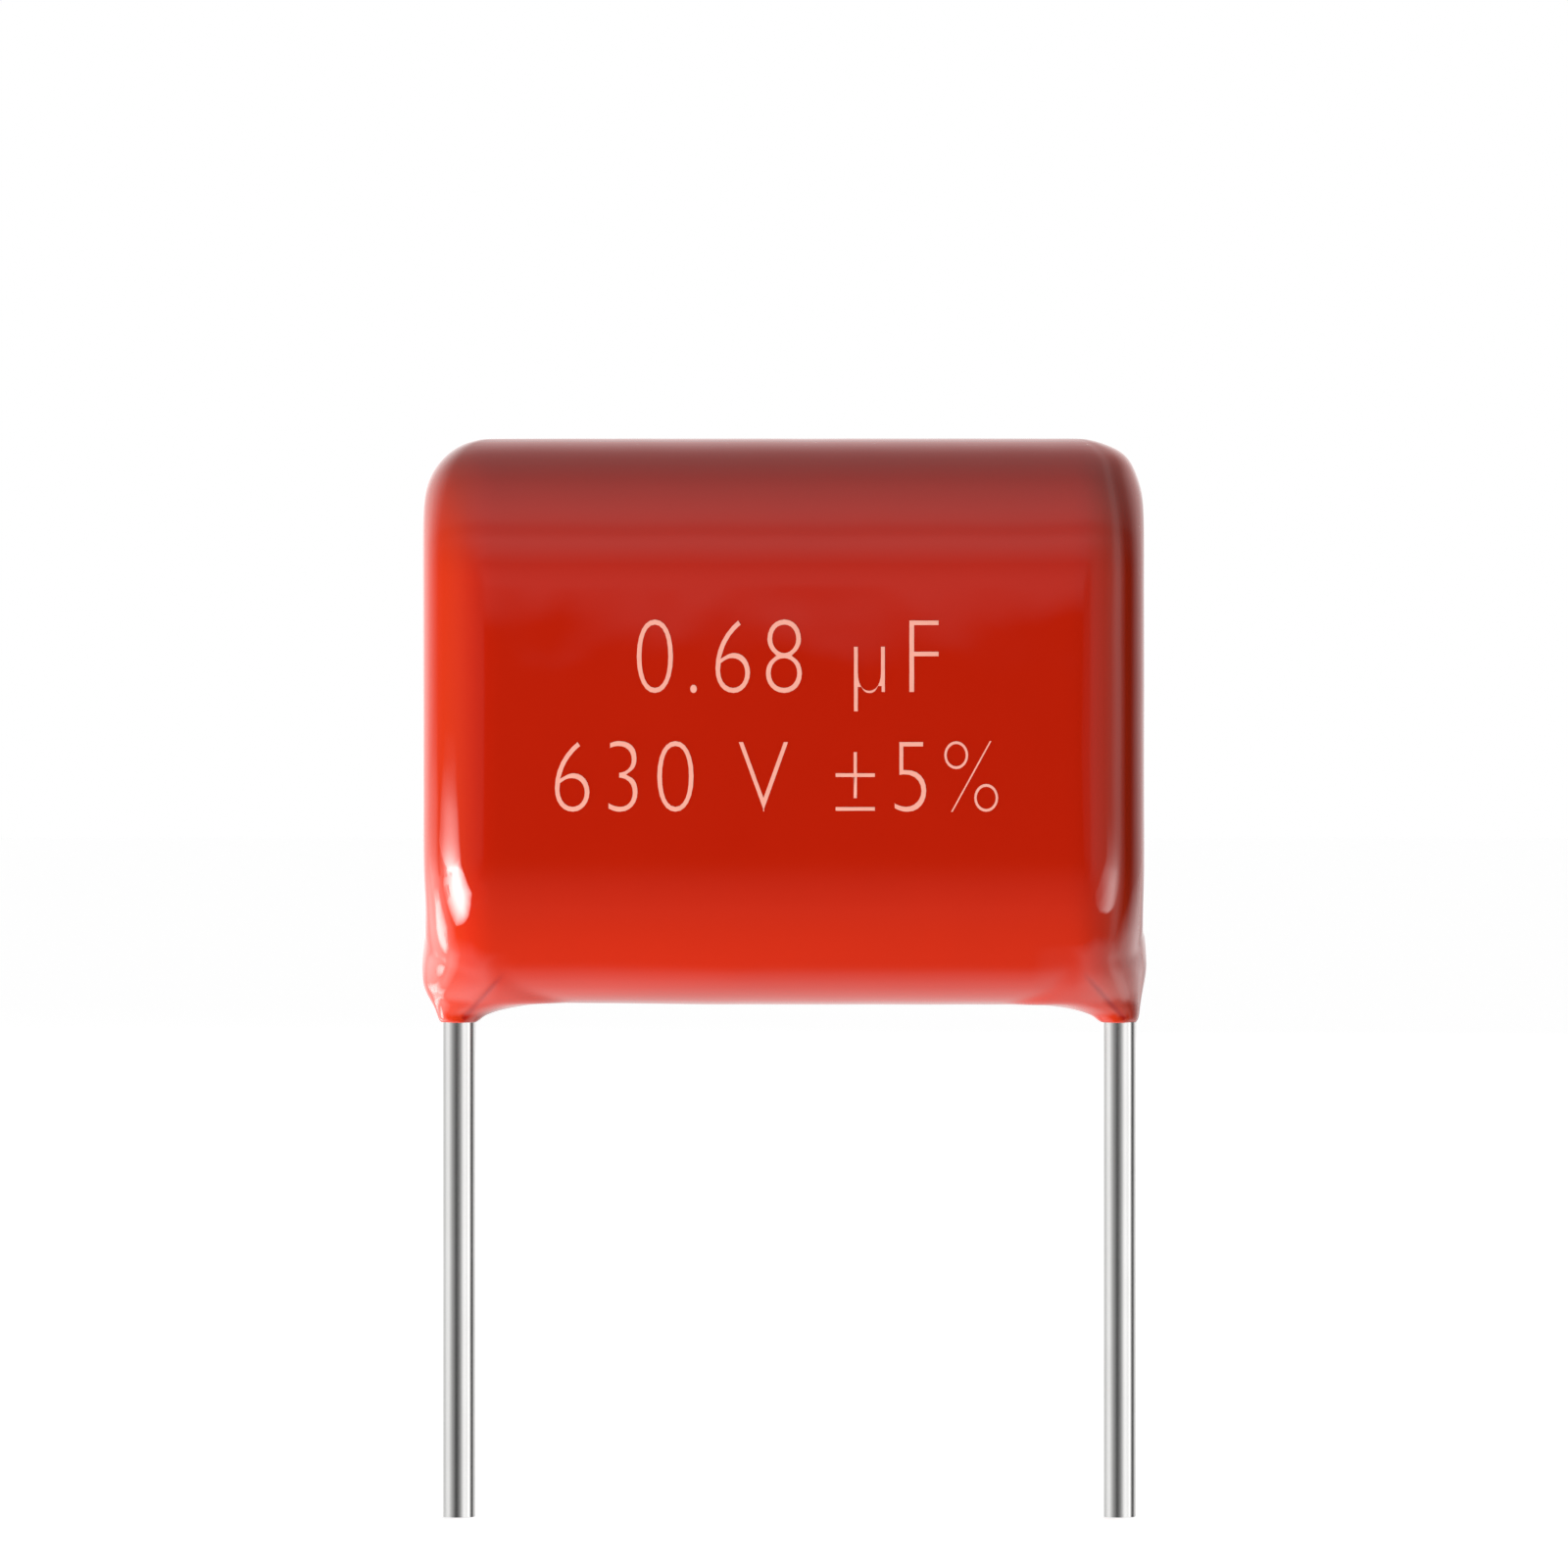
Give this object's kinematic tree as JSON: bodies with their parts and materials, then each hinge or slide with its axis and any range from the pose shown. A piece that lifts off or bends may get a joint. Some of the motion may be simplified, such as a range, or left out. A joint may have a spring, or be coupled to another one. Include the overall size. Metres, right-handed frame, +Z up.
{
  "type": "film capacitor",
  "caption": "Radial film capacitor with a rounded, dipped red resin body and straight tinned leads on a 15 mm pitch.",
  "frame": {"origin": "midway between the leads, on the plane where the coat's feet meet the bare wires and the part seats on its board", "axes": "+Z up, away from the board; +X from the left lead to the right one as seen from the printed face; the printed face looks along -Y"},
  "size_m": [0.0163, 0.0066, 0.0245],
  "materials": {
    "resin_coat": "glossy dipped epoxy",
    "film": "metallised film, wound",
    "sprayed_metal": "matt grey sprayed zinc",
    "tinned_wire": "bright tin over copper-clad steel"
  },
  "bodies": {
    "root": {"coating": "resin_coat", "film_roll": "film", "end_contact_left": "sprayed_metal", "end_contact_right": "sprayed_metal", "lead_left": "tinned_wire", "lead_right": "tinned_wire"}
  },
  "joints": []
}
